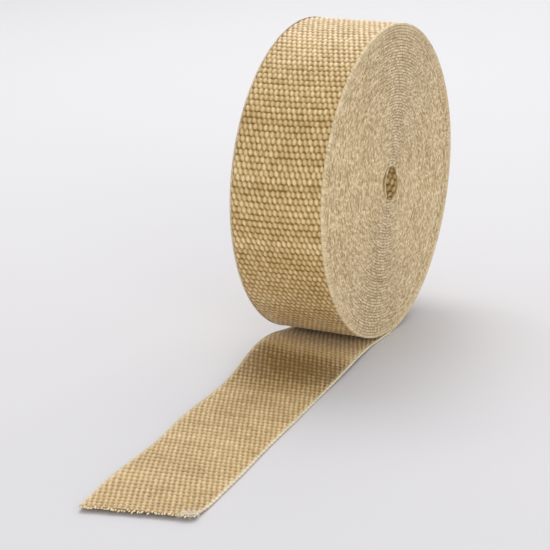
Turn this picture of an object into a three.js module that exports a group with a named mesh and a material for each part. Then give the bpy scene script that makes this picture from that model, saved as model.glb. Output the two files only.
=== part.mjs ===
// Roll of woven heat-insulation tape for wrapping exhaust pipes.
//
// The whole object is one long strip. Most of it is wound on itself into a roll with a small open bore. The roll
// stands on its rolled side, and the free end leads off over the floor in front, with one low wave near the roll.
// Millimetres, +Z up. The roll's axis runs along X, and the free end leads towards -Y.
//
// The strip is followed by a count of steps. Steps -1 and 0 bound the facet on which the roll stands. Steps above
// 0 climb the back of the roll and wind inwards, and steps below -1 run out along the free end. Neighbouring turns
// share their edges, so the wound part is one solid, and the crowned selvage of every turn shows as one spiral
// ridge on each end of the roll.

import * as THREE from 'three';
import { ParametricGeometry } from 'three/addons/geometries/ParametricGeometry.js';
import { mergeGeometries, mergeVertices } from 'three/addons/utils/BufferGeometryUtils.js';

// Tape
const tapeWidth = 50;
const tapeThickness = 1.5;
const tapeLength = 15000;
const selvageCrown = 0.4; // how far the middle of the tape's edge stands out past its two corners

// Roll
const boreDiameter = 16;
const facetsPerTurn = 24;

// Free end
const tailLength = 254; // from the roll's axis to the middle of the cut
const tailHeading = 5.6; // degrees, towards +X
const tailBend = 20; // the heading is reached over this length
const waveLength = 100;
const waveHeightLeft = 6.6; // at the edge towards -X
const waveHeightRight = 1.4; // at the edge towards +X
const waveLean = 0.85; // below 1, the wave rises more steeply than it falls
const waveSections = 12;
const cutSlant = 7.5; // the cut's left corner reaches this much further out along the tape than its right one

// Sizes that follow
const boreRadius = boreDiameter / 2;
const woundLength = tapeLength - tailLength;
const rollRadius = Math.sqrt(boreRadius ** 2 + (woundLength * tapeThickness) / Math.PI);
const woundSteps = Math.round((facetsPerTurn * (rollRadius - boreRadius)) / tapeThickness) - facetsPerTurn;
const facetAngle = (2 * Math.PI) / facetsPerTurn;
const cornerScale = Math.sqrt(facetAngle / Math.sin(facetAngle)); // gives a faceted turn the round one's area
const axisHeight = rollRadius * cornerScale * Math.cos(facetAngle / 2);
const standHalf = rollRadius * cornerScale * Math.sin(facetAngle / 2); // half the facet that the roll stands on
const tailSteps = waveSections + 2;
const headingSlope = Math.tan(THREE.MathUtils.degToRad(tailHeading));

// How far the tape's edge stands out at a share of its thickness: 0 is the outer face, 1 the inner one.
function crown(share) {
  return share === 0.5 ? selvageCrown : 0;
}

// Height of the free end's underside at a distance from where the tape leaves the roll, and a place across it.
function waveAt(distance, across) {
  const phase = Math.min(distance / waveLength, 1) ** waveLean;
  const rightward = 0.5 + across / tapeWidth;
  const height = waveHeightLeft + (waveHeightRight - waveHeightLeft) * rightward;
  return (height * (1 - Math.cos(2 * Math.PI * phase))) / 2;
}

// A point of the wound part. The inner face of one turn and the outer face of the next give the same point.
function woundPoint(step, share, across) {
  const turnsIn = Math.max(0, step / facetsPerTurn + share);
  const angle = (step + 0.5) * facetAngle;
  const radius = rollRadius - tapeThickness * turnsIn;
  return new THREE.Vector3(
    across,
    radius * cornerScale * Math.sin(angle),
    axisHeight - radius * cornerScale * Math.cos(angle),
  );
}

// A point of the free end, which turns to its heading over the bend. Its sections stay square to the tape, and
// the last one is the cut.
function tailPoint(sections, share, across) {
  const atCut = sections > waveSections;
  const distance = atCut ? tailLength - standHalf : (sections * waveLength) / waveSections;
  const turned = Math.min(distance / tailBend, 1);
  const slope = headingSlope * turned;
  const square = 1 / Math.hypot(1, slope);
  const slant = atCut ? (cutSlant * across) / tapeWidth : 0;
  return new THREE.Vector3(
    headingSlope * turned * (distance - (tailBend * turned) / 2) + across * square,
    -standHalf - distance + across * slope * square + slant,
    waveAt(distance, across) + share * tapeThickness,
  );
}

function stripPoint(step, share, side) {
  const across = side * (tapeWidth / 2 + crown(share));
  return step < -1 ? tailPoint(-1 - step, share, across) : woundPoint(step, share, across);
}

// A patch of the strip's skin between two steps. pointAt takes the step and a count from 0 to rows.
function patch(firstStep, lastStep, rows, pointAt) {
  const steps = lastStep - firstStep;
  return new ParametricGeometry(
    (u, v, target) => target.copy(pointAt(firstStep + Math.round(u * steps), Math.round(v * rows))),
    steps,
    rows,
  );
}

// Both edges of the tape: on the roll they are the two ends, with the turns showing.
function edges() {
  return [
    patch(-tailSteps, woundSteps, 2, (step, row) => stripPoint(step, row / 2, 1)),
    patch(-tailSteps, woundSteps, 2, (step, row) => stripPoint(step, 1 - row / 2, -1)),
  ];
}

// The underside of the free end and the outside of the roll, up to where the second turn begins.
function outerFace() {
  return patch(-tailSteps, facetsPerTurn - 1, 1, (step, row) => stripPoint(step, 0, 2 * row - 1));
}

// The top of the free end, and the wall of the bore.
function innerFaces() {
  const inner = (step, row) => stripPoint(step, 1, 1 - 2 * row);
  return [patch(-tailSteps, -1, 1, inner), patch(woundSteps - facetsPerTurn, woundSteps, 1, inner)];
}

// A cut across the tape. side is 1 where the strip begins and -1 where it ends.
function cut(step, side) {
  return new ParametricGeometry(
    (u, v, target) => target.copy(stripPoint(step, Math.round(2 * v) / 2, side * (2 * Math.round(u) - 1))),
    1,
    2,
  );
}

function tapeGeometry() {
  const cuts = [cut(-tailSteps, 1), cut(woundSteps, -1)];
  const skin = mergeGeometries([...edges(), outerFace(), ...innerFaces(), ...cuts]);
  skin.deleteAttribute('normal');
  skin.deleteAttribute('uv');
  return mergeVertices(skin);
}

const tapeMaterial = new THREE.MeshStandardMaterial({
  color: new THREE.Color(0.73, 0.6, 0.4),
  roughness: 0.85,
  metalness: 0,
  flatShading: true,
});

const tape = new THREE.Mesh(tapeGeometry(), tapeMaterial);
tape.name = 'insulation_tape';

// The origin is on the floor, at the middle of the object's bounding box.
const bounds = new THREE.Box3().setFromObject(tape);
const middle = bounds.getCenter(new THREE.Vector3());
tape.position.set(-middle.x, -middle.y, -bounds.min.z);

const roll = new THREE.Group();
roll.add(tape);

export default roll;
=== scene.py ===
"""The looks of a roll of woven glass-fibre wrapping tape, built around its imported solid.

The tape is one strip. Its wound part is followed by angle: 0 is where it touches the floor under the
roll's axis, and from there it goes up the back, over the top, down the front and inwards. The free end
leaves from the same place towards -Y. Every surface is a grid of points worked out from that path, with the
weave as relief.
"""

import math

import bmesh
import bpy
import numpy as np
from mathutils import Matrix, Vector


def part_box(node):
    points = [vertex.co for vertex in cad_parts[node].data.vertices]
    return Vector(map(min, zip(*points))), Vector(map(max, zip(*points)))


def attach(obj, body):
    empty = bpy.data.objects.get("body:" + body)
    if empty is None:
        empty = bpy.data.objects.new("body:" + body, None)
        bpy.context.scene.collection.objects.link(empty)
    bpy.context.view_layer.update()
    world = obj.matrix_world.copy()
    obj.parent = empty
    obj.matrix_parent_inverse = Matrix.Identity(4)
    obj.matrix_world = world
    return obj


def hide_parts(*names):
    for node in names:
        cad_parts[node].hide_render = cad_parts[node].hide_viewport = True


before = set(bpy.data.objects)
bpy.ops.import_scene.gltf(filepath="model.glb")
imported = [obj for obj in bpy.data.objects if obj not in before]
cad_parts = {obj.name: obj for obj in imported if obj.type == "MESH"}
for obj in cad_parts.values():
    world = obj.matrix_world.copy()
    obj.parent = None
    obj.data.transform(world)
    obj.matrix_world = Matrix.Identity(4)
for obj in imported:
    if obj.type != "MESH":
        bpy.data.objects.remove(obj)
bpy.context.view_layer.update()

MM = 0.001
NODE = "insulation_tape"
BODY = "root"

# The tape and its roll, with the values of the part's source
WIDTH = 50 * MM
THICK = 1.5 * MM
LENGTH = 15000 * MM
CROWN = 0.4 * MM
BORE_RADIUS = 8 * MM
FACETS = 24
TAIL = 254 * MM
HEADING = math.tan(math.radians(5.6))
BEND = 20 * MM
WAVE_LENGTH = 100 * MM
WAVE_LEFT = 6.6 * MM
WAVE_RIGHT = 1.4 * MM
WAVE_LEAN = 0.85
CUT_SLANT = 7.5 * MM

# Sizes that follow
WOUND = LENGTH - TAIL
RADIUS = math.sqrt(BORE_RADIUS**2 + WOUND * THICK / math.pi)
FACET = 2 * math.pi / FACETS
CORNER = math.sqrt(FACET / math.sin(FACET))
STAND_HALF = RADIUS * CORNER * math.sin(FACET / 2)
TURN = 2 * math.pi
LAST_ANGLE = (round(FACETS * (RADIUS - BORE_RADIUS) / THICK) - FACETS + 0.5) * FACET
LOW, HIGH = (np.array(corner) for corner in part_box(NODE))
AXIS = np.array([  # the tape's left edge, the roll's back and the floor give the place of the roll's middle
    LOW[0] + WIDTH / 2 + CROWN,
    HIGH[1] - (RADIUS - THICK / 4) * CORNER * math.cos(FACET / 2),
    RADIUS,
])
BEAD = THICK / 2  # half the height of the tape's edge

# The photograph's camera, fitted to the roll's outline
AZIMUTH = math.radians(26.878)  # from -Y towards +X
ELEVATION = math.radians(16.837)
ROLL = math.radians(-0.38)
DISTANCE = 0.8918
AIM_HEIGHT = 0.08  # it is aimed at the middle of the roll, at this height
AIM_RIGHT = -0.03775  # and then moved sideways and up with its aim
AIM_UP = -0.04841
LENS = 111.56  # millimetres, as is the sensor's width
SENSOR = 36

# What the soft roll does and its solid doesn't
SAG = 0.98  # its height, as a share of a true round
LOOSE_ANGLE = math.radians(135)  # the inner end stands off the bore's wall over this angle
LOOSE_GAP = 2.6 * MM
DRIFT = 0.45 * MM  # how far its edge stands out over several turns, at most
TURN_DRIFT = 0.2 * MM  # and from one turn to the next

# What the free end does and its solid doesn't
CURL_LENGTH = 22 * MM  # the tape rises a little towards the cut
CURL_HEIGHT = 1.4 * MM
SWAY = 0.8 * MM  # sideways, past the wave
SLANT_LENGTH = 60 * MM  # its yarns turn to the slant of the cut over this length
CORNER_LENGTH = 20 * MM  # the corners draw in over this length
LEFT_CORNER = 2.2 * MM
RIGHT_CORNER = 1.4 * MM
TOP_SHADE = 1.6  # painted shade: how much lower the tone of its top is than the roll's
WAVE_SHADE = 2.8  # painted shadow of the roll and painted shade: how much lower again on the front of the wave

# The weave
ROLL_ENDS = 36  # warp ends that show across the tape where it is wound
TAIL_ENDS = 43  # and where it lies free
PICK = 3.28 * MM  # from one weft pick to the next
TAIL_STRETCH = 1.07  # the free end's picks lie this much wider apart
PICKS = 200  # picks after which the random numbers repeat
SKEW = 0.04  # how far the picks are off square
BOW = 0.0012 / MM  # and how far they bow on the roll
RELIEF = 0.75 * MM
FLOAT_HALF_WIDTH = 0.8  # of the distance between two ends
FLOAT_HALF_LENGTH = 0.55 * PICK
FLOAT_TURN = 0.1  # how far a float leans, in ends for each millimetre along it
TAIL_FLOAT_TURN = -0.24
WEFT_HALF_WIDTH = 1.4 * MM
WEFT_LIFT = 0.5
# the lower weft ridge gets a darker tone: painted shade between the floats
WEFT_TONE = -0.6

# The tape's edges
EDGE = WIDTH / 2 + CROWN
SKIN_HALF = EDGE - 0.9 * BEAD  # the woven faces end here, under the edge's bead
BORDER = 2.0 * MM  # the weave flattens over this width
STITCH = 1.0 * MM  # from one stitch to the next on the roll's ends
STITCH_SLANT = 0.9  # a stitch crosses the edge over this share of its spacing
STITCH_JITTER = 0.8  # how far the stitches wander on the inner turns, as a share of their spacing
JITTER_STEP = 1.9 * MM
FINE_TURNS = 4  # the outer turns are cut into shorter steps than the others
FINE_STEP = 0.45 * MM
COARSE_STEP = 0.95 * MM

# Loose yarns and fibres
STRAND_STEPS = 9
STRAND_SIDES = 5

# Colours, from the gaps of the weave to the crowns of the yarns: darker in the gaps as painted shade, paler
# on the crowns as a painted highlight
SKIN_STOPS = [
    (0.1, (0.2, 0.105, 0.01)),
    (0.5, (0.51, 0.335, 0.12)),
    (0.8, (0.67, 0.495, 0.25)),
    (1.0, (0.8, 0.64, 0.38)),
]
EDGE_STOPS = [
    (0.1, (0.34, 0.23, 0.1)),
    (0.4, (0.57, 0.43, 0.235)),
    (0.7, (0.74, 0.59, 0.37)),
    (1.0, (0.86, 0.73, 0.5)),
]
SKIN_SELVAGE = (0.82, 0.69, 0.46)
EDGE_SELVAGE = (0.86, 0.7, 0.44)
FIBRE_COLOUR = (0.86, 0.8, 0.7)
FLOOR_COLOUR = (0.6, 0.592, 0.612)

random = np.random.default_rng(4)
FLOATS = random.uniform(-1, 1, (6, TAIL_ENDS + 4, PICKS))  # what differs from one float to the next
ROWS = random.uniform(-1, 1, (2, PICKS))  # what differs from one row of floats to the next
STITCHES = random.uniform(-1, 1, (3, 12000))  # what differs from one edge stitch to the next
DRIFTS = random.uniform(-1, 1, (2, 16, 7))  # how far the edges stand out, by turns and by angle
STEPS = random.uniform(-1, 1, (2, 56, 3))  # the same, from one turn to the next


def set_camera():
    """The photograph's viewing angle, through a long lens."""
    back = Vector((
        math.sin(AZIMUTH) * math.cos(ELEVATION),
        -math.cos(AZIMUTH) * math.cos(ELEVATION),
        math.sin(ELEVATION),
    ))
    level = Vector((math.cos(AZIMUTH), math.sin(AZIMUTH), 0))
    upright = back.cross(level)
    right = level * math.cos(ROLL) + upright * math.sin(ROLL)
    up = upright * math.cos(ROLL) - level * math.sin(ROLL)
    target = Vector((AXIS[0], AXIS[1], AIM_HEIGHT))
    place = target + right * AIM_RIGHT + up * AIM_UP + back * DISTANCE
    data = bpy.data.cameras.new("camera")
    data.lens = LENS
    data.sensor_width = SENSOR
    camera = bpy.data.objects.new("camera", data)
    bpy.context.scene.collection.objects.link(camera)
    camera.matrix_world = Matrix((
        (right.x, up.x, back.x, place.x),
        (right.y, up.y, back.y, place.y),
        (right.z, up.z, back.z, place.z),
        (0, 0, 0, 1),
    ))
    bpy.context.scene.camera = camera


def between(table, row, column):
    """A table's value at a broken row and column, by straight lines between its numbers. Past the last
    column comes the first."""
    rows, columns = table.shape
    row = np.clip(row, 0, rows - 1.001)
    i, j = np.floor(row).astype(int), np.floor(column).astype(int)
    down, along = row - i, column - j
    j, k = j % columns, (j + 1) % columns
    upper = table[i, j] * (1 - along) + table[i, k] * along
    lower = table[i + 1, j] * (1 - along) + table[i + 1, k] * along
    return upper * (1 - down) + lower * down


def eased(share):
    """0 below 0, 1 above 1, and the smooth curve 3x^2 - 2x^3 between them."""
    share = np.clip(share, 0, 1)
    return share * share * (3 - 2 * share)


def length_at(angle):
    """The wound length up to an angle. The radius shrinks by the tape's thickness in each turn, so
    length = radius * angle - thickness * angle^2 / 4 pi."""
    return RADIUS * angle - THICK * angle**2 / (2 * TURN)


def angle_at(length):
    """The angle after a wound length: the same formula solved for the angle."""
    return (RADIUS - np.sqrt(RADIUS**2 - THICK * length / np.pi)) * TURN / THICK


def wound(angle, inward):
    """(y, z) of the wound tape at an angle and a depth below its outer face:
    radius = outer radius - thickness * angle / 2 pi - depth.
    The inner end bows off the wall of the bore in half a sine, and the whole is a little flattened."""
    loose = np.clip((angle - LAST_ANGLE + LOOSE_ANGLE) / LOOSE_ANGLE, 0, 1)
    radius = RADIUS - THICK * angle / TURN - inward - LOOSE_GAP * np.sin(np.pi * loose)
    return np.stack([AXIS[1] + radius * np.sin(angle), SAG * (AXIS[2] - radius * np.cos(angle))], -1)


def edge_drift(angle, side):
    """How far the roll's edge stands out at an angle, on one side: hills and dales 3.4 turns wide, 7 of them
    around, and a step of its own for each turn."""
    turns = angle / TURN
    row = (side + 1) // 2
    wide = DRIFT * between(DRIFTS[row], turns / 3.4, 7 * turns)
    return wide + TURN_DRIFT * between(STEPS[row], turns, 3 * turns)


def plain_weave(across, along, ends, parity=0, skew=0.0, bow=0.0, turn=FLOAT_TURN):
    """Relief of the plain weave of so many ends at places across and along the tape, from 0 in the gaps to
    about 1 on the yarns, with each yarn's own tone, lowered on the weft as painted shade.

    Warp ends run along the tape and show as short floats where they pass over a weft pick, at every other
    crossing. A float is a dome, the square root of 1 - |u|^2.2 - |v|^2.5, where u runs across it and v along
    it. It is turned, moved and sized a little by its own random numbers. Between the floats the weft shows
    as a lower ridge. The higher of the two is the surface.
    """
    end = (across / WIDTH + 0.5) * ends
    pick = (along + skew * across + bow * across**2) / PICK
    first_end = np.floor(end).astype(int)
    first_pick = np.floor(pick).astype(int)
    nearest = np.round(pick).astype(int)
    from_weft = (pick - nearest) * PICK / WEFT_HALF_WIDTH
    lift = WEFT_LIFT * np.sqrt(np.maximum(1 - from_weft**2, 0))
    tone = WEFT_TONE + 0.3 * ROWS[1][nearest % PICKS]
    for i in (first_end - 1, first_end, first_end + 1):
        for j in (first_pick, first_pick + 1):
            on_top = (i + j + parity) % 2 == 0
            own = FLOATS[:, i % (TAIL_ENDS + 4), j % PICKS]
            row = ROWS[:, j % PICKS]
            v = (pick - j + 0.06 * own[0]) * PICK
            u = end - i - 0.5 + 0.13 * own[1] - (turn + 0.09 * own[2]) * v / MM
            shape = 1 - np.abs(u / (FLOAT_HALF_WIDTH * (1 + 0.1 * own[3]))) ** 2.2
            shape = shape - np.abs(v / (FLOAT_HALF_LENGTH * (1 + 0.07 * own[4] + 0.08 * row[0]))) ** 2.5
            dome = (0.88 + 0.07 * own[5] + 0.05 * row[0]) * np.sqrt(np.maximum(shape, 0)) * on_top
            higher = dome > lift
            lift = np.where(higher, dome, lift)
            tone = np.where(higher, own[1] * 0.35 + own[5] * 0.35 + row[1] * 0.5, tone)
    return lift, tone


def mesh_piece(name, points, faces, marks, flat_map, material):
    """Puts points and faces (a list of arrays, one row for each face) into a new smooth-shaded object that
    stands for part of the tape. marks gives a number for each point under each name, and flat_map its place
    on the tape laid flat, in millimetres. Points that coincide are made one."""
    mesh = bpy.data.meshes.new(name)
    mesh.vertices.add(len(points))
    mesh.vertices.foreach_set("co", points.astype(np.float32).ravel())
    corners = np.concatenate([face.ravel() for face in faces]).astype(np.int32)
    sizes = np.concatenate([np.full(len(face), face.shape[1]) for face in faces])
    starts = np.concatenate([[0], np.cumsum(sizes)[:-1]]).astype(np.int32)
    mesh.loops.add(len(corners))
    mesh.loops.foreach_set("vertex_index", corners)
    mesh.polygons.add(len(sizes))
    mesh.polygons.foreach_set("loop_start", starts)
    mesh.polygons.foreach_set("use_smooth", np.ones(len(sizes), bool))
    layer = mesh.uv_layers.new(name="flat_tape")
    layer.data.foreach_set("uv", flat_map[corners].astype(np.float32).ravel())
    for key, mark in marks.items():
        layer = mesh.attributes.new(key, "FLOAT", "POINT")
        layer.data.foreach_set("value", mark.astype(np.float32))
    mesh.update(calc_edges=True)
    shape = bmesh.new()
    shape.from_mesh(mesh)
    bmesh.ops.remove_doubles(shape, verts=shape.verts, dist=1e-7)
    shape.to_mesh(mesh)
    shape.free()
    mesh.materials.append(material)
    piece = bpy.data.objects.new(name, mesh)
    bpy.context.scene.collection.objects.link(piece)
    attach(piece, BODY)
    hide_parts(NODE)
    return piece


def grid_faces(rows, columns, around=False, flip=False):
    """The quads of a grid of points, row by row. around joins the last column to the first."""
    index = np.arange(rows * columns).reshape(rows, columns)
    if around:
        index = np.concatenate([index, index[:, :1]], 1)
    corners = [index[:-1, :-1], index[1:, :-1], index[1:, 1:], index[:-1, 1:]]
    return np.stack(corners[::-1] if flip else corners, -1).reshape(-1, 4)


def grid_piece(name, points, marks, flat_map, material, flip=False):
    """A piece from one grid of points, with marks and flat places in grids of the same size."""
    faces = [grid_faces(*points.shape[:2], flip=flip)]
    marks = {key: mark.ravel() for key, mark in marks.items()}
    mesh_piece(name, points.reshape(-1, 3), faces, marks, flat_map.reshape(-1, 2), material)


def woven_skin(across, along, ends, **weave):
    """The depth of the weave's surface below the tape's face, and the marks that its paint reads. At the
    border the weave flattens, turns paler and bends down under the edge's bead."""
    lift, tone = plain_weave(across, along, ends, **weave)
    inside = np.clip((EDGE - np.abs(across)) / BORDER, 0, 1)
    depth = RELIEF * (1 - lift * (0.4 + 0.6 * inside)) + 0.5 * MM * (1 - inside) ** 4
    return depth, {"lift": lift, "tone": tone, "selvage": 0.9 * (1 - inside) ** 0.6}


def flat_place(across, along):
    """Places on the tape laid flat, in millimetres."""
    return np.stack(np.broadcast_arrays(across / MM, along / MM), -1)


def woven_band(name, start, stop, radius, columns, inner, material):
    """A woven face of the wound tape between two angles: its outer face, or its inner one. Its borders
    follow the drift of the roll's edges. An outer face gets painted shade where it comes down to the floor
    in front, and all over past the first turn, which is the loose inner end in the bore."""
    rows = round((stop - start) * radius / (PICK / 6)) + 1
    angles = np.linspace(start, stop, rows)
    angle, across = np.meshgrid(angles, np.linspace(-SKIN_HALF, SKIN_HALF, columns), indexing="ij")
    along = angle * radius
    depth, marks = woven_skin(across, along, ROLL_ENDS, parity=int(inner), skew=SKEW, bow=BOW)
    drift = np.where(across > 0, edge_drift(angle, 1), -edge_drift(angle, -1))
    drift = drift * np.abs(across / SKIN_HALF) ** 6
    if not inner:
        # painted shade: the tone falls where the outer turn meets the floor in front, and over the whole
        # loose inner end
        marks["tone"] = marks["tone"] - 5 * eased((angle - TURN + 0.28) / 0.2)
    place = wound(angle, THICK - depth if inner else depth)
    points = np.concatenate([(AXIS[0] + across + drift)[..., None], place], -1)
    grid_piece(name, points, marks, flat_place(across, along), material, flip=inner)


def roll_end(name, side, material):
    """One end of the roll: the tape's edge, a stitched bead that follows the spiral from the floor inwards.

    At each arc length the bead's section is half an ellipse about the tape's mid-thickness, from its outer
    face over the edge to its inner face. The slanted stitches swell it, each by its own amount. They are
    even on the outer turns and wander more and more on the inner ones.
    """
    fine, last = length_at(FINE_TURNS * TURN), length_at(LAST_ANGLE)
    length = np.concatenate([np.arange(0, fine, FINE_STEP), np.arange(fine, last, COARSE_STEP), [last]])
    length, turn_of = np.meshgrid(length, np.linspace(0.5, -0.5, 6) * math.pi, indexing="ij")
    angle = angle_at(length)
    outermost = eased(2 - angle / TURN)
    outer = eased(1 - angle / (12 * TURN))
    jitter = np.interp(length, np.arange(len(STITCHES[2])) * JITTER_STEP, STITCHES[2])
    stitch = length / STITCH + turn_of / math.pi * STITCH_SLANT + STITCH_JITTER * jitter * (1 - outer)
    which = np.floor(stitch).astype(int) % len(STITCHES[0])
    swell = np.sin(np.pi * (stitch % 1)) ** 0.7 * (0.66 + 0.34 * STITCHES[0][which])
    depth = BEAD * (0.3 + 0.4 * swell + 0.25 * outermost)
    edge = EDGE - BEAD + edge_drift(angle, side) + depth * np.cos(turn_of)
    edge = edge - 0.6 * MM * (np.abs(turn_of) > 1.5)
    place = wound(angle, BEAD * (1 - 1.02 * np.sin(turn_of)))
    points = np.concatenate([(AXIS[0] + side * edge)[..., None], place], -1)
    # painted shade: the bead's lift, which sets its colour, falls off where it turns in between two turns,
    # except on the outermost turn
    lift = swell * np.cos(turn_of) ** (0.3 * (1 - outermost))
    marks = {"lift": lift, "tone": STITCHES[1][which], "selvage": 0.6 * outermost}
    grid_piece(name, points, marks, flat_place(turn_of * BEAD, length), material, flip=side < 0)


def tail_path(distance, across):
    """The free end at distances from the roll's axis: sideways drift, height of the underside, and the
    slopes of both. It is flat at the roll, then one cosine wave that is higher at the left edge, then flat,
    and it curls up a little at the cut. The heading is reached over the bend."""
    run = np.maximum(distance - STAND_HALF, 0)
    turned = np.minimum(run / BEND, 1)
    drift = HEADING * turned * (run - BEND * turned / 2)
    share = np.minimum(run / WAVE_LENGTH, 1)
    phase = 2 * np.pi * share**WAVE_LEAN
    crest = WAVE_LEFT + (WAVE_RIGHT - WAVE_LEFT) * (across / WIDTH + 0.5)
    height = crest * (1 - np.cos(phase)) / 2
    rise = crest * np.sin(phase) * np.pi / WAVE_LENGTH
    curled = np.maximum(distance - TAIL + CURL_LENGTH, 0) / CURL_LENGTH
    sway = -SWAY * eased((distance - 80 * MM) / (50 * MM))
    return drift + sway, height + CURL_HEIGHT * curled**2, HEADING * turned, rise


def tail_points(distance, across, up):
    """Points of the free end at distances from the axis, places across it and heights above its underside.
    Its edges wander a little, and its corners draw in at the cut."""
    drift, height, slope, rise = tail_path(distance, across)
    square = 1 / np.hypot(1, slope)
    cut_share = eased((distance - TAIL + SLANT_LENGTH) / SLANT_LENGTH)
    slant = CUT_SLANT * across / WIDTH * cut_share
    left = np.minimum(across / EDGE, 0) ** 2
    right = np.maximum(across / EDGE, 0) ** 6
    near_cut = np.clip((distance - TAIL + CORNER_LENGTH) / CORNER_LENGTH, 0, 1) ** 1.5
    wander = eased((distance - 110 * MM) / (30 * MM)) * eased((TAIL - distance) / (30 * MM))
    across = across + near_cut * (LEFT_CORNER * left - RIGHT_CORNER * right)
    across = across - 0.6 * MM * left * wander * np.sin((distance - 130 * MM) / (12 * MM))
    ripple = np.sin(distance / (11 * MM) + 2 * np.sign(across))
    across = across + np.abs(across / EDGE) ** 3 * 0.2 * MM * ripple
    x = AXIS[0] + drift + across * square
    y = AXIS[1] - distance + across * slope * square + slant + up * rise
    return np.stack([x, y, height + up], -1)


def free_end(material):
    """The free end of the tape as one closed skin. Each section is a ring: the woven top, a stitched bead,
    the woven underside and the other bead. The first and last rings are closed by a face each. The top has
    less contrast than the roll, and from 52 mm out its tone is lowered as painted shade, most of all on the
    front of the wave, where the painted shadow of the roll falls."""
    top = np.linspace(-SKIN_HALF, SKIN_HALF, 4 * TAIL_ENDS - 6)
    under = np.linspace(SKIN_HALF, -SKIN_HALF, TAIL_ENDS - 2)
    bend = np.linspace(0.42, -0.42, 7) * math.pi
    distance = np.linspace(0, TAIL, round(TAIL / PICK * 5) + 1)[:, None]
    along = -distance / TAIL_STRETCH
    place = np.broadcast_arrays(top, along)
    depth_top, marks_top = woven_skin(*place, TAIL_ENDS, parity=1, skew=-SKEW, turn=TAIL_FLOAT_TURN)
    depth_under, marks_under = woven_skin(*np.broadcast_arrays(under, along), TAIL_ENDS, skew=-SKEW)
    stitch = -distance / PICK + bend / math.pi * STITCH_SLANT
    which = np.floor(stitch).astype(int) % len(STITCHES[0])
    swell = np.sin(np.pi * (stitch % 1)) ** 0.7 * (0.8 + 0.2 * STITCHES[0][which])
    bead = BEAD * (0.7 + 0.45 * swell)
    reach = EDGE - BEAD + bead * np.cos(bend)
    across = np.concatenate([top + 0 * distance, reach, under + 0 * distance, -reach[:, ::-1]], 1)
    rise = bead * np.sin(bend)
    up = np.concatenate([THICK - depth_top, BEAD + rise, depth_under, BEAD + rise[:, ::-1]], 1)
    marks_top["lift"] = 0.3 + 0.68 * marks_top["lift"]
    # painted shade on the top from 52 mm out, and painted shadow of the roll on the front of the wave
    shade = TOP_SHADE + WAVE_SHADE * (1 - eased((distance - 80 * MM) / (30 * MM)))
    marks_top["tone"] = marks_top["tone"] - shade * eased((distance - 52 * MM) / (16 * MM))
    edge = {"lift": swell, "tone": STITCHES[1][which], "selvage": np.ones_like(swell)}
    marks = {
        key: np.concatenate([marks_top[key], mark, marks_under[key], mark[:, ::-1]], 1).ravel()
        for key, mark in edge.items()
    }
    points = tail_points(distance * np.ones_like(across), across, up).reshape(-1, 3)
    rows, ring = across.shape
    caps = [np.arange(ring)[None, :], np.arange(rows * ring - 1, rows * ring - ring - 1, -1)[None, :]]
    faces = [grid_faces(rows, ring, around=True, flip=True), *caps]
    flat_map = flat_place(across, distance).reshape(-1, 2)
    piece = mesh_piece("free_end", points, faces, marks, flat_map, material)


def unit(ways):
    """The same directions at length 1."""
    return ways / np.linalg.norm(ways, axis=1, keepdims=True)


def strands(name, starts, ways, lengths, radius, curl, seed, material):
    """Loose yarns and fibres. Each one is a tapered tube about the line start + way * length * t, bent by
    curl * length * t^2 in a direction of its own and waved by a sine in another."""
    own = np.random.default_rng(seed)
    count = len(starts)
    each = STRAND_STEPS * STRAND_SIDES
    t = np.linspace(0, 1, STRAND_STEPS)[None, :, None]
    bend = own.normal(size=(count, 1, 3))
    wave = own.normal(size=(count, 1, 3))
    size = lengths[:, None, None]
    line = starts[:, None] + ways[:, None] * size * t + bend * curl * size * t**2
    line = line + wave * curl * 0.3 * size * np.sin(5 * t)
    line[..., 2] = np.maximum(line[..., 2], radius)
    side = unit(np.cross(ways, own.normal(size=(count, 3))))
    other = np.cross(ways, side)
    around = np.arange(STRAND_SIDES) * TURN / STRAND_SIDES
    ring = side[:, None, None] * np.cos(around)[:, None] + other[:, None, None] * np.sin(around)[:, None]
    taper = radius * np.sqrt(np.clip(1 - (2 * t - 1) ** 8, 0, 1)) * (1 - 0.5 * t)
    points = line[:, :, None] + ring * taper[..., None]
    tube = grid_faces(STRAND_STEPS, STRAND_SIDES, around=True)
    faces = (tube[None] + np.arange(count)[:, None, None] * each).reshape(-1, 4)
    shade = np.repeat(own.uniform(-1, 1, count), each)
    marks = {"lift": np.ones(count * each), "tone": shade, "selvage": np.ones(count * each)}
    flat = np.zeros((count * each, 2))
    mesh_piece(name, points.reshape(-1, 3), [faces], marks, flat, material)


class Wire:
    """A socket of a node tree that can be added, subtracted and multiplied like a number."""

    def __init__(self, paint, socket):
        self.paint = paint
        self.socket = socket

    def math(self, operation, first, second):
        return self.paint.node("ShaderNodeMath", {"operation": operation}, {0: first, 1: second})

    def __add__(self, other):
        return self.math("ADD", self, other)

    def __radd__(self, other):
        return self.math("ADD", other, self)

    def __sub__(self, other):
        return self.math("SUBTRACT", self, other)

    def __rsub__(self, other):
        return self.math("SUBTRACT", other, self)

    def __mul__(self, other):
        return self.math("MULTIPLY", self, other)

    def __rmul__(self, other):
        return self.math("MULTIPLY", other, self)


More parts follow.
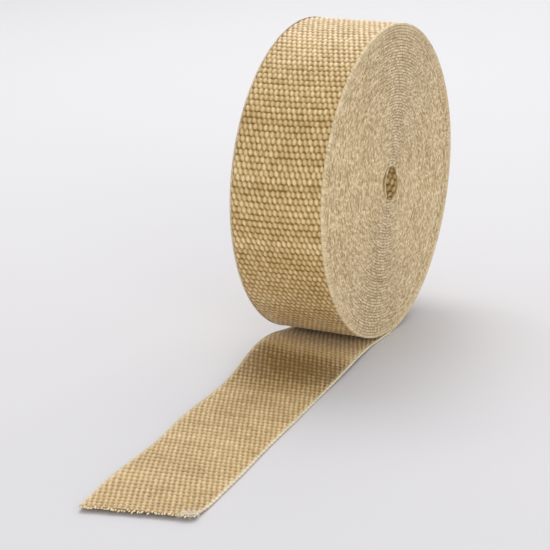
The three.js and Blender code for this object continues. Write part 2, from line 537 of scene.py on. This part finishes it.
class Paint:
    """A procedural material. node() adds any node, and the surface is one Principled shader."""

    def __init__(self, name):
        self.material = bpy.data.materials.new(name)
        self.material.use_nodes = True
        self.tree = self.material.node_tree
        self.surface = self.tree.nodes["Principled BSDF"]

    def plug(self, node, inputs):
        for key, value in inputs.items():
            if isinstance(value, Wire):
                self.tree.links.new(value.socket, node.inputs[key])
            else:
                node.inputs[key].default_value = value

    def node(self, kind, settings=None, inputs=None, output=0):
        """Adds a node: its settings are set first, then the values or wires of its sockets."""
        made = self.tree.nodes.new(kind)
        for key, value in (settings or {}).items():
            if key == "stops":
                self.set_stops(made.color_ramp, value)
            else:
                setattr(made, key, value)
        self.plug(made, inputs or {})
        return Wire(self, made.outputs[output])

    def set_stops(self, ramp, stops):
        while len(ramp.elements) < len(stops):
            ramp.elements.new(0.5)
        for element, (position, colour) in zip(ramp.elements, stops):
            element.position = position
            element.color = (*colour, 1)

    def mark(self, name):
        return self.node("ShaderNodeAttribute", {"attribute_name": name}, output="Fac")

    def mix(self, factor, first, second):
        return self.node("ShaderNodeMix", {"data_type": "RGBA"}, {0: factor, 6: first, 7: second}, output=2)

    def noise(self, place, scale, detail=2.0):
        return self.node("ShaderNodeTexNoise", inputs={"Vector": place, "Scale": scale, "Detail": detail})


def woven_glass(name, stops, edge, mottle, shine, grain):
    """Tan glass-fibre yarn: painted shade in the gaps and a painted highlight on the crowns, each float with
    its own tone, paler selvages, soft blotches, and filaments that run along the tape. The tone marks also
    carry painted shade.
    mottle is the strength of the fine specks, and grain is their scale."""
    paint = Paint(name)
    lift = paint.mark("lift")
    tone = paint.mark("tone")
    selvage = paint.mark("selvage")
    place = paint.node("ShaderNodeTexCoord", output="Object")
    flat = paint.node("ShaderNodeUVMap", {"uv_map": "flat_tape"})
    stretched = paint.node("ShaderNodeVectorMath", {"operation": "MULTIPLY"}, {0: flat, 1: (7.0, 0.9, 1.0)})
    blotch = paint.noise(place, 42.0, 3.0)
    speck = paint.noise(place, grain)
    filament = paint.noise(stretched, 1.0, 3.0)
    # level follows lift, so the ramp paints shade in the gaps and a highlight on the crowns; tone adds the
    # painted shade of the marks
    level = lift + tone * 0.12 + (blotch - 0.5) * 0.3 + (speck - 0.5) * mottle + (filament - 0.5) * 0.25
    body = paint.node("ShaderNodeValToRGB", {"stops": stops}, {0: level})
    pale = paint.mix(level, (*(0.6 * x for x in edge), 1), (*edge, 1))
    colour = paint.mix(selvage, body, pale)
    height = filament + speck * 0.5
    bump = paint.node("ShaderNodeBump", inputs={"Strength": 0.6, "Distance": 0.12 * MM, "Height": height})
    paint.plug(paint.surface, {
        "Base Color": colour,
        "Roughness": 0.7 - lift * 0.16,
        "Normal": bump,
        "Specular IOR Level": shine,
        "Sheen Weight": 0.25,
        "Sheen Roughness": 0.4,
    })
    return paint.material


def plain(name, colour, roughness):
    paint = Paint(name)
    paint.plug(paint.surface, {"Base Color": (*colour, 1), "Roughness": roughness})
    return paint.material


def add_floor():
    reach = 3
    corners = [(-reach, -reach, 0), (reach, -reach, 0), (reach, reach, 0), (-reach, reach, 0)]
    mesh = bpy.data.meshes.new("floor")
    mesh.from_pydata(corners, [], [(0, 1, 2, 3)])
    floor = bpy.data.objects.new("floor", mesh)
    bpy.context.scene.collection.objects.link(floor)
    mesh.materials.append(plain("pale floor", FLOOR_COLOUR, 0.9))


def add_light(name, place, target, size, power):
    data = bpy.data.lights.new(name, "AREA")
    data.size = size
    data.energy = power
    light = bpy.data.objects.new(name, data)
    bpy.context.scene.collection.objects.link(light)
    light.location = place
    light.rotation_euler = (Vector(target) - Vector(place)).to_track_quat("-Z", "Y").to_euler()


def add_lights():
    """A large soft key high up and to the left, a broader one high behind for the sheen on the top, a soft
    fill low in front on the right, and a pale surround."""
    add_light("key", (-0.5, 0.6, 1.5), (0, 0.05, 0.05), 0.9, 12)
    add_light("back", (-0.3, 2.3, 1.9), (0, 0.1, 0.1), 2.4, 38)
    add_light("fill", (1.2, -1.4, 0.45), (0, 0, 0.08), 1.2, 18)
    world = bpy.data.worlds.new("surround")
    world.use_nodes = True
    world.node_tree.nodes["Background"].inputs["Color"].default_value = (1, 1, 1, 1)
    world.node_tree.nodes["Background"].inputs["Strength"].default_value = 0.62
    bpy.context.scene.world = world
    bpy.context.scene.view_settings.view_transform = "Standard"


def cut_yarns(count):
    """Where the warp yarns end along the cut, the way that they point, outwards along the tape, and their
    lengths."""
    own = np.random.default_rng(11)
    across = np.linspace(-0.94, 0.94, count) * WIDTH / 2 + own.uniform(-0.3, 0.3, count) * MM
    starts = tail_points(np.full(count, TAIL - 0.6 * MM), across, THICK * own.uniform(0.3, 0.7, count))
    sideways = 0.1 + 0.12 * own.normal(size=count)
    ways = np.stack([sideways, -np.ones(count), 0.08 * own.normal(size=count)], -1)
    return starts, unit(ways), own.uniform(0.8, 2.4, count) * MM


def corner_fibres(count):
    """Loose fibres at the cut's right corner, fanned out over the floor."""
    own = np.random.default_rng(12)
    across = own.uniform(0.72, 1.0, count) * WIDTH / 2
    starts = tail_points(TAIL - own.uniform(0, 5, count) * MM, across, THICK * own.uniform(0.2, 1.1, count))
    sideways = own.uniform(-0.9, 0.9, count)
    ways = np.stack([sideways, -own.uniform(0.2, 1, count), own.uniform(-0.2, 0.35, count)], -1)
    return starts, unit(ways), own.uniform(1, 3, count) * MM


def fuzz(count):
    """Short fibres that stand off the outer turn, more of them near its edges."""
    own = np.random.default_rng(13)
    angle = own.uniform(0.3, TURN - 0.5, count)
    across = own.uniform(-1, 1, count)
    across = np.sign(across) * np.abs(across) ** 0.5 * WIDTH / 2
    starts = np.concatenate([(AXIS[0] + across)[:, None], wound(angle, 0.4 * MM * np.ones(count))], -1)
    out = np.stack([0.3 * own.normal(size=count), np.sin(angle), -np.cos(angle)], -1)
    ways = out + 0.6 * own.normal(size=(count, 3))
    return starts, unit(ways), own.uniform(0.8, 2.6, count) * MM


def wound_tape(weave_paint, edge_paint):
    """The roll: both halves of its outer turn, its two ends, and the turns that show in the bore."""
    outside = (RADIUS, 4 * ROLL_ENDS + 10)
    inside = 1.1 * BORE_RADIUS
    loose = LAST_ANGLE - LOOSE_ANGLE
    last_turn = LAST_ANGLE - TURN
    woven_band("outer_turn_back", 0, TURN / 2, *outside, False, weave_paint)
    woven_band("outer_turn_front", TURN / 2, TURN, *outside, False, weave_paint)
    roll_end("roll_end_right", 1, edge_paint)
    roll_end("roll_end_left", -1, edge_paint)
    woven_band("bore_wall", last_turn, LAST_ANGLE, inside, 3 * ROLL_ENDS, True, weave_paint)
    woven_band("bore_lining", loose - TURN, last_turn, inside, 2 * ROLL_ENDS, True, weave_paint)
    woven_band("loose_inner_end", loose, LAST_ANGLE, inside, 2 * ROLL_ENDS, False, weave_paint)


def loose_fibres(edge_paint, fibre_paint):
    """The cut's yarns, the fibres at its corner, and the fuzz on the outer turn."""
    strands("cut_yarns", *cut_yarns(TAIL_ENDS), 0.5 * MM, 0.06, 21, edge_paint)
    strands("corner_fibres", *corner_fibres(110), 0.11 * MM, 0.35, 22, fibre_paint)
    strands("fuzz", *fuzz(260), 0.045 * MM, 0.4, 23, edge_paint)


set_camera()
weave = woven_glass("woven glass", SKIN_STOPS, SKIN_SELVAGE, mottle=0.25, shine=0.6, grain=1100.0)
edges = woven_glass("stitched edges", EDGE_STOPS, EDGE_SELVAGE, mottle=0.7, shine=0.25, grain=1700.0)
wound_tape(weave, edges)
add_floor()
free_end(weave)
loose_fibres(edges, plain("loose fibres", FIBRE_COLOUR, 0.7))
add_lights()
